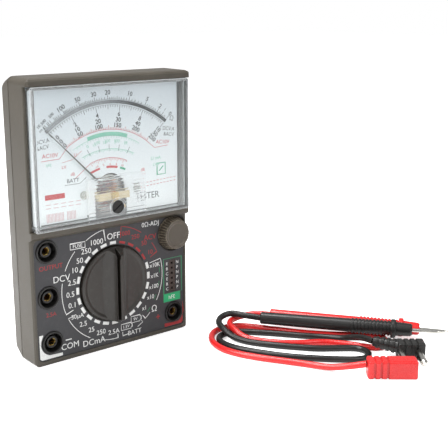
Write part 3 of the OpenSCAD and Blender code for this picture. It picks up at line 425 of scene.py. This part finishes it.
class Print:
    """Ink on a face of the meter, drawn in millimetres from the selector's axis."""

    def __init__(self, name, material, face):
        self.name, self.material, self.face = name, material, face
        self.mesh = bmesh.new()

    def place(self, x, y, raised):
        lift = INK_THICKNESS if raised else -INK_THICKNESS / 3
        return Vector((KNOB_AT.x + x * MM, self.face - lift, KNOB_AT.z + y * MM))

    def slab(self, outline):
        top = [self.mesh.verts.new(self.place(x, y, True)) for x, y in outline]
        base = [self.mesh.verts.new(self.place(x, y, False)) for x, y in outline]
        self.mesh.faces.new(top)
        self.mesh.faces.new(base[::-1])
        for i, corner in enumerate(top):
            after = (i + 1) % len(top)
            self.mesh.faces.new((top[after], corner, base[i], base[after]))

    def bar(self, centre, width, height, angle=0):
        w, h = width / 2, height / 2
        self.slab(turned([(-w, -h), (w, -h), (w, h), (-w, h)], angle, centre))

    def line(self, points, width=0.35):
        """A stroke of that width along the points, mitred at its corners."""
        rows = []
        count = len(points)
        for i, (x, y) in enumerate(points):
            before, after = points[max(i - 1, 0)], points[min(i + 1, count - 1)]
            along = Vector((after[0] - before[0], after[1] - before[1])).normalized()
            half = width / 2
            if 0 < i < count - 1:
                leg = Vector((x - before[0], y - before[1])).normalized()
                half /= max(0.5, abs(along.dot(leg)))
            side = Vector((-along.y, along.x)) * half
            ends = ((x + side.x, y + side.y), (x - side.x, y - side.y))
            rows.append([self.mesh.verts.new(self.place(*end, raised))
                         for raised in (True, False) for end in ends])
        for a, b in zip(rows, rows[1:]):
            for i, j in ((0, 1), (1, 3), (3, 2), (2, 0)):
                self.mesh.faces.new((a[i], b[i], b[j], a[j]))
        self.mesh.faces.new((rows[0][0], rows[0][1], rows[0][3], rows[0][2]))
        self.mesh.faces.new((rows[-1][2], rows[-1][3], rows[-1][1], rows[-1][0]))

    def frame(self, x0, y0, x1, y1, width=0.35):
        middle = (x0 + x1) / 2
        self.line([(middle, y0), (x0, y0), (x0, y1), (x1, y1), (x1, y0), (middle, y0)], width)

    def label(self, text, centre, height, angle=0, bold=0.0, squeeze=1.0):
        """Text whose capitals are height tall, centred on a point."""
        curve = bpy.data.curves.new("text", "FONT")
        curve.body = text
        curve.extrude = 0.02
        curve.offset = bold
        curve.resolution_u = 3
        holder = bpy.data.objects.new("text", curve)
        bpy.context.scene.collection.objects.link(holder)
        bpy.context.view_layer.update()
        letters = bpy.data.meshes.new_from_object(holder)
        middle = (min(v.co.x for v in letters.vertices) + max(v.co.x for v in letters.vertices)) / 2
        size = height / CAP_HEIGHT
        for v in letters.vertices:
            flat = ((v.co.x - middle) * size * squeeze, (v.co.y - CAP_HEIGHT / 2) * size)
            v.co = self.place(*turned([flat], angle, centre)[0], v.co.z > 0)
        self.mesh.from_mesh(letters)
        bpy.data.objects.remove(holder)
        bpy.data.curves.remove(curve)
        bpy.data.meshes.remove(letters)

    def done(self):
        bmesh.ops.remove_doubles(self.mesh, verts=self.mesh.verts, dist=2e-7)
        bmesh.ops.recalc_face_normals(self.mesh, faces=self.mesh.faces)
        data = bpy.data.meshes.new(self.name)
        self.mesh.to_mesh(data)
        self.mesh.free()
        data.materials.append(self.material)
        piece = bpy.data.objects.new(self.name, data)
        bpy.context.scene.collection.objects.link(piece)
        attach(piece, "meter")


BAR_RADIUS = 23
BRACKET_RADIUS = 32.6
BRACKET_TOP_RADIUS = 31.8
COMMON_JACK = (-39.2, -25.3)
POSITIVE_JACK = (40.5, -25.8)
SOCKET_TOP_HOLE = 4.2
HOLE_PITCH = 3.04


def battery_sign(art, left, foot, width, height):
    """Outline of a battery with its stud on the right."""
    right = left + width
    top = foot + height
    step = 0.8
    stud = right + 0.7
    art.line([(left, foot), (right, foot), (right, foot + step), (stud, foot + step),
              (stud, top - step), (right, top - step), (right, top), (left, top), (left, foot)], 0.3)


def white_panel_print():
    art = Print("panel_print_white", ink("white_ink", "#d9dad8"), PANEL_FACE)
    for angle in [0, *range(75, 360, 15)]:
        art.bar(polar(BAR_RADIUS, angle), 3.9, 1.7, angle)
    art.label("OFF", (0.5, 26.9), 3.3)
    labels = {
        "1000": (-10, 25.2), "250": (-16.9, 21.3), "50": (-21, 16.7), "10": (-24, 12),
        "2.5": (-26.3, 5.5), "0.5": (-27.5, -1), "0.1": (-26.8, -7.2),
    }
    for text, spot in labels.items():
        art.label(text, spot, 2.9)
    art.label("50µA", (-23.6, -14), 2.4)
    for text, spot in {"2.5": (-20.3, -19.2), "25": (-15.3, -23.7), "250": (-9.2, -26.6),
                       "2.5A": (-0.9, -28.3)}.items():
        art.label(text, spot, 2.7)
    for text, spot in {"x1": (19.6, -19), "x10": (24.3, -13.3), "x100": (26.6, -7.4),
                       "x1K": (27.3, -1), "x10K": (27.6, 5.3)}.items():
        art.label(text, spot, 2.5, squeeze=0.9)
    art.label("Ω", (26.7, -20.8), 3.6)
    art.label("DCV", (-32.2, 8.9), 3.4)
    art.label("DCmA", (-13.7, -31), 3.4)
    art.label("COM", (-28.8, -29.6), 3.3)
    art.bar((-29.6, -26), 3.6, 0.6)
    art.label("BATT", (13, -31.7), 2.6)
    art.label("0Ω-ADJ", (24.9, 29.8), 2.5)
    art.label("FUSE", (-22, 25.1), 1.9)
    art.frame(-26.5, 23.5, -17.5, 26.7)
    art.label("1.5V", (7.5, -27.3), 1.7)
    battery_sign(art, 4, -29, 6.6, 3.5)
    art.label("9V", (13.7, -24.2), 1.7)
    battery_sign(art, 10.7, -26, 6.1, 3.7)
    art.line(arc(BRACKET_RADIUS, -47, -67.5))
    art.line(arc(BRACKET_RADIUS, -79.4, -111) + [(-26, -10)])
    art.line(arc(BRACKET_TOP_RADIUS, -32, -10.4) + [(-4.8, 24.9)])
    art.line([(-25.5, -13.2)] + arc(BRACKET_RADIUS, -116, -150))
    art.line(arc(BRACKET_RADIUS, -168, -183) + [(1.6, -30)])
    art.line([(24, 7)] + arc(BRACKET_RADIUS, 75, 119.5))
    art.line(arc(BRACKET_RADIUS, 133.4, 141.2) + [(18.5, -23)])
    art.line([(15, -29.2), (18.5, -27.2), (17.8, -26)])
    art.line([(4.8, -30), (5, -32.3), (8.5, -32)])
    art.slab([(-47, -20), (-44.6, -20)] + arc(7, -72, -165, COMMON_JACK)
             + [(-33.5, -32.4), (-33.5, -34), (-46, -34), (-47, -33)])
    for k, letter in enumerate("EBCEBC"):
        art.label(letter, (36.1, SOCKET_TOP_HOLE - HOLE_PITCH * k), 1.7)
    for k, letter in enumerate("NPNPNP"):
        art.label(letter, (43.4, SOCKET_TOP_HOLE - HOLE_PITCH * k), 1.7)
    art.label("hFE", (39.4, -16.4), 2.2)
    art.done()


def red_panel_print():
    art = Print("panel_print_red", ink("red_ink", "#981c20"), PANEL_FACE)
    for angle, text in {15: "1000", 30: "250", 45: "50", 60: "10"}.items():
        art.bar(polar(BAR_RADIUS, angle), 3.9, 1.3, angle)
        art.label(text, polar(28.2, angle + 1.5), 2.5)
    art.label("ACV", (24.6, 22.2), 2.9)
    art.line([(5, 25)] + arc(BRACKET_TOP_RADIUS, 10, 36))
    art.line(arc(BRACKET_TOP_RADIUS, 54, 66) + [(24.5, 10.3)])
    art.label("OUTPUT", (-38.3, 16.3), 2.4)
    art.label("2.5A", (-39.3, -9.5), 2.2)
    art.label("+", (29.3, -26.5), 4)
    art.slab([(47, -20), (47, -33), (46, -34), (34, -34), (34, -31.9)]
             + arc(7.2, 155, 80, POSITIVE_JACK))
    art.done()


def green_panel_print():
    art = Print("panel_print_green", ink("green_ink", "#1f9a63"), PANEL_FACE + INK_THICKNESS / 4)
    art.bar((39.4, -16.4), 11.9, 5)
    art.bar((-45.3, -32), 1.6, 1.9)
    art.done()
    art = Print("panel_print_dark_green", ink("dark_green_ink", "#2d7a54"),
                PANEL_FACE - INK_THICKNESS / 2)
    art.frame(33.6, -13.9, 46.4, 7.2, 0.4)
    for start in (80, 95, 110, 125):
        art.line(arc(30.8, start + 4, start + 10), 0.3)
    art.done()


# The dial's scales: each arc's centre and radius
BAND = ((0, 40), 59.6)
BAND_TOP = 1.35
BAND_FOOT = -1.6
AC_ARC = ((-1.3, 42.1), 43.0)
GREEN_ARC = ((-1.3, 35.5), 39.2)
DB_ARC = ((-1.3, 40.25), 29.65)
BATTERY_ARC = ((-1.3, 39), 26.0)
SWEEP = 45
AC_SWEEP = 0.93 * SWEEP
MIDDLE_OHMS = 20


def on_ray(scale, angle, out=0.0):
    """Where the ray at that angle from the pointer's pivot meets a scale's arc."""
    (cx, cy), radius = scale
    a = math.radians(angle)
    along = Vector((math.sin(a), math.cos(a)))
    back = Vector((-cx, PIVOT_RISE - cy))
    b = along.dot(back)
    reach = -b + math.sqrt(b * b - back.length_squared + radius ** 2) + out
    return (along.x * reach, PIVOT_RISE + along.y * reach)


def tick(art, scale, angle, start, end, width):
    art.line([on_ray(scale, angle, start), on_ray(scale, angle, end)], width)


def ohm_angle(value):
    """The pointer's angle at a resistance; half the sweep stands at MIDDLE_OHMS."""
    return SWEEP * (2 * MIDDLE_OHMS / (MIDDLE_OHMS + value) - 1)


def black_dial_print():
    art = Print("dial_print_black", ink("black_ink", "#2b2c2f"), DIAL_FACE)
    art.line([on_ray(BAND, a, BAND_TOP) for a in range(-44, 46, 2)], 0.18)
    art.line([on_ray(BAND, a, BAND_FOOT) for a in range(-44, 46, 2)], 0.18)
    fine = ([k * 0.5 for k in range(11)] + list(range(6, 21)) + list(range(22, 51, 2))
            + list(range(55, 101, 5)) + list(range(120, 201, 20)) + [300, 400, 500, 1000, 2000])
    named = {0: "0", 1: "1", 2: "2", 5: "5", 10: "10", 20: "20", 30: "30", 50: "50", 100: "100",
             200: "200", 500: "500", 1000: "1K"}
    for value in fine:
        reach = 2.1 if value in named or value % 100 == 0 else 1.5 if value % 5 == 0 else 1.1
        tick(art, BAND, ohm_angle(value), BAND_TOP, BAND_TOP + reach, 0.3)
    for value, text in named.items():
        small = value in (1, 200, 500, 1000)
        shift = {500: -0.8, 1000: -2.2}.get(value, 0)
        art.label(text, on_ray(BAND, ohm_angle(value) + shift, 5), 1.5 if small else 2.3,
                  ohm_angle(value), bold=0.02)
    art.label("∞", on_ray(BAND, -46.5, 2.6), 1.7, -45)
    art.label("Ω", (41.3, 87.8), 2.6, 20)
    for k in range(51):
        angle = SWEEP * (k / 25 - 1)
        reach = 3.2 if k % 10 == 0 else 2.3 if k % 5 == 0 else 1.3
        tick(art, BAND, angle, BAND_FOOT, BAND_FOOT - reach, 0.3)
    for row, numbers in enumerate(("0 2 4 6 8 10", "0 10 20 30 40 50", "0 50 100 150 200 250")):
        for k, text in enumerate(numbers.split()):
            angle = SWEEP * (k / 2.5 - 1) + (2.6 if k == 0 else 0)
            art.label(text, on_ray(BAND, angle, -6.4 - 3 * row), 2.3, angle, bold=0.025)
    for x, side in ((-39.3, -1), (39.3, 1)):
        art.label("DCV.A", (x, 82.2), 2.1, 8 * side, squeeze=0.9)
        art.label("&ACV", (x, 79.1), 2.1, 8 * side, squeeze=0.9)
    for angle in (-28, -14, 0, 14, 28):
        tick(art, GREEN_ARC, angle, -1.2, 2.4, 0.24)
    art.label("BATT", (-22.5, 60.2), 2.1)
    art.line([(-27.5, 58.2), (-18.5, 58.2), (-14.5, 61)], 0.22)
    art.label("TESTER", (24, 46), 3.6, squeeze=0.95)
    art.done()


def red_dial_print():
    art = Print("dial_print_red", ink("dial_red_ink", "#c8393d"), DIAL_FACE)
    for k in range(51):
        angle = AC_SWEEP * (k / 25 - 1)
        tick(art, AC_ARC, angle, 0, 2.2 if k % 5 == 0 else 1.1, 0.24)
    curve = [on_ray(AC_ARC, AC_SWEEP * (k / 25 - 1)) for k in range(51)]
    art.line([(-40.5, 72), (-30, 72.4)] + curve + [(29.5, 72.4), (38.5, 73)], 0.26)
    art.label("AC10V", (-35.3, 74.6), 2.1)
    art.label("AC10V", (35, 75.2), 2.1, 4)
    span = 33
    art.line([(-21.5, 60.8)] + [on_ray(DB_ARC, a) for a in range(-span, span + 1, 2)], 0.26)
    for k in range(23):
        tick(art, DB_ARC, -span + 3 * k, 0, -2 if k % 4 == 0 else -1.1, 0.22)
    for k, text in enumerate(("-10", "0", "4", "8", "10")):
        art.label(text, on_ray(DB_ARC, -27 + 14 * k, -3.4), 1.2, -27 + 14 * k)
    art.label("dB", (21.3, 61), 1.8)
    art.label("dB", (-22.6, 63.6), 1.6)
    art.line(arc(BATTERY_ARC[1], -24.5, -10.5, BATTERY_ARC[0]), 1.15)
    art.line(arc(BATTERY_ARC[1], -1.5, 14, BATTERY_ARC[0]), 1.25)
    for k, spot in enumerate(((-27.5, 67.8), (-20.5, 73.5))):
        art.label(("LV", "LI")[k], spot, 1.7)
    art.line([(-28.5, 70.2), (-22.5, 71.2), (-16.8, 75.2)], 0.2)
    art.bar((-33.5, 53), 11.5, 2.7)
    for k in range(12):
        art.bar((17.5 + 2.3 * k, 53.2 + 0.12 * k), 1.3, 0.32)
        art.bar((17.5 + 2.3 * k, 51.2 + 0.12 * k), 1.3, 0.32)
    art.done()


def green_dial_print():
    art = Print("dial_print_green", ink("dial_green_ink", "#7fc4ac"), DIAL_FACE)
    art.line(arc(40.6, -17, 18.5, AC_ARC[0]), 2.1)
    art.line([on_ray(AC_ARC, a, -3.4) for a in range(-40, 38, 2)], 0.2)
    for k in range(25):
        tick(art, AC_ARC, -36 + 3 * k, -3.4, -4.6, 0.2)
    for k, text in enumerate(("0", "100", "200", "500", "1K")):
        art.label(text, on_ray(AC_ARC, -26 + 12 * k, -6.1), 1.7, -26 + 12 * k)
    art.line([on_ray(GREEN_ARC, a) for a in range(-38, 40, 2)], 0.22)
    for k in range(33):
        tick(art, GREEN_ARC, -36 + 2.25 * k, 0, -1.6 if k % 4 == 0 else -1, 0.22)
    for k, text in enumerate(("15", "10", "5", "0")):
        art.label(text, on_ray(GREEN_ARC, -18 + 13 * k, 3.6), 1.6, -18 + 13 * k)
    art.label("LI mA", (30.3, 66.6), 1.9)
    art.label("LV V", (30.6, 63), 1.6)
    art.label("hFE", (-36.3, 69.7), 1.5)
    art.done()


def strong_green_dial_print():
    art = Print("dial_print_strong_green", ink("strong_green_ink", "#3fa883"), DIAL_FACE)
    art.line(arc(BATTERY_ARC[1], 17.5, 25.5, BATTERY_ARC[0]), 1.15)
    art.frame(31, 57, 36.6, 63.4, 0.5)
    art.line([(32.4, 59), (35.2, 61.6)], 0.7)
    art.done()


def pale_dial_print():
    """Blocks of fine strokes that fill the lower left of the dial."""
    art = Print("dial_print_pale", ink("pale_red_ink", "#d9a0a4"), DIAL_FACE)
    for x0, count in ((-38.6, 13), (-26.6, 7)):
        for k in range(count):
            art.bar((x0 + 0.8 * k, 42), 0.32, 4.6)
    for row in range(2):
        for k in range(5):
            art.bar((-37.5 + 4.4 * k, 47.2 + 1.9 * row), 2.9, 0.3)
    art.done()


def make_prints():
    white_panel_print()
    red_panel_print()
    green_panel_print()
    black_dial_print()
    red_dial_print()
    green_dial_print()
    strong_green_dial_print()
    pale_dial_print()


# ---------------------------------------------------------------- stage

def make_floor():
    bpy.ops.mesh.primitive_grid_add(x_subdivisions=8, y_subdivisions=8, size=8)
    floor = bpy.context.object
    floor.name = "floor"
    nodes = Nodes("floor")
    tone = nodes.blend(nodes.between(nodes.noise(0.3, 2), 0, 1), rgb("#fbfbfb"), rgb("#fdfdfd"))
    seen = nodes.add("LightPath").outputs["Is Camera Ray"]
    shader = nodes.add("BsdfPrincipled", {"Base Color": tone, "Roughness": 0.6,
                                          "Specular IOR Level": 0.3, "Emission Color": tone,
                                          "Emission Strength": nodes.math("MULTIPLY", seen, 0.6)})
    floor.data.materials.append(nodes.finish(shader.outputs[0]))


def make_lamp(name, place, aim, size, power):
    data = bpy.data.lights.new(name, "AREA")
    data.shape = "DISK"
    data.size = size
    data.energy = power
    lamp = bpy.data.objects.new(name, data)
    bpy.context.scene.collection.objects.link(lamp)
    lamp.location = place
    lamp.rotation_mode = "QUATERNION"
    lamp.rotation_quaternion = (Vector(aim) - Vector(place)).to_track_quat("-Z", "Y")


def make_studio():
    world = bpy.data.worlds.new("studio")
    world.use_nodes = True
    tree = world.node_tree
    background = tree.nodes["Background"]
    background.inputs["Color"].default_value = (1, 1, 1, 1)
    # White behind the object, and dimmer as a light on it
    seen = tree.nodes.new("ShaderNodeLightPath").outputs["Is Camera Ray"]
    strength = tree.nodes.new("ShaderNodeMapRange")
    strength.inputs["To Min"].default_value = WORLD_LIGHT
    strength.inputs["To Max"].default_value = 1.0
    tree.links.new(seen, strength.inputs["Value"])
    tree.links.new(strength.outputs["Result"], background.inputs["Strength"])
    bpy.context.scene.world = world
    bpy.context.scene.view_settings.view_transform = "Standard"
    make_lamp("key", (-0.75, 0.05, 0.75), (0, 0, 0.05), 0.5, 10)
    make_lamp("fill", (0.1, -1.0, 0.9), (0.03, -0.02, 0.05), 0.8, 6.5)
    make_lamp("top", (-0.05, 0.15, 0.95), (0.02, 0, 0.1), 0.4, 9)
    make_floor()


make_camera()
MATERIALS = make_materials()
paint_nodes(MATERIALS)
make_cables(MATERIALS)
make_prints()
make_studio()
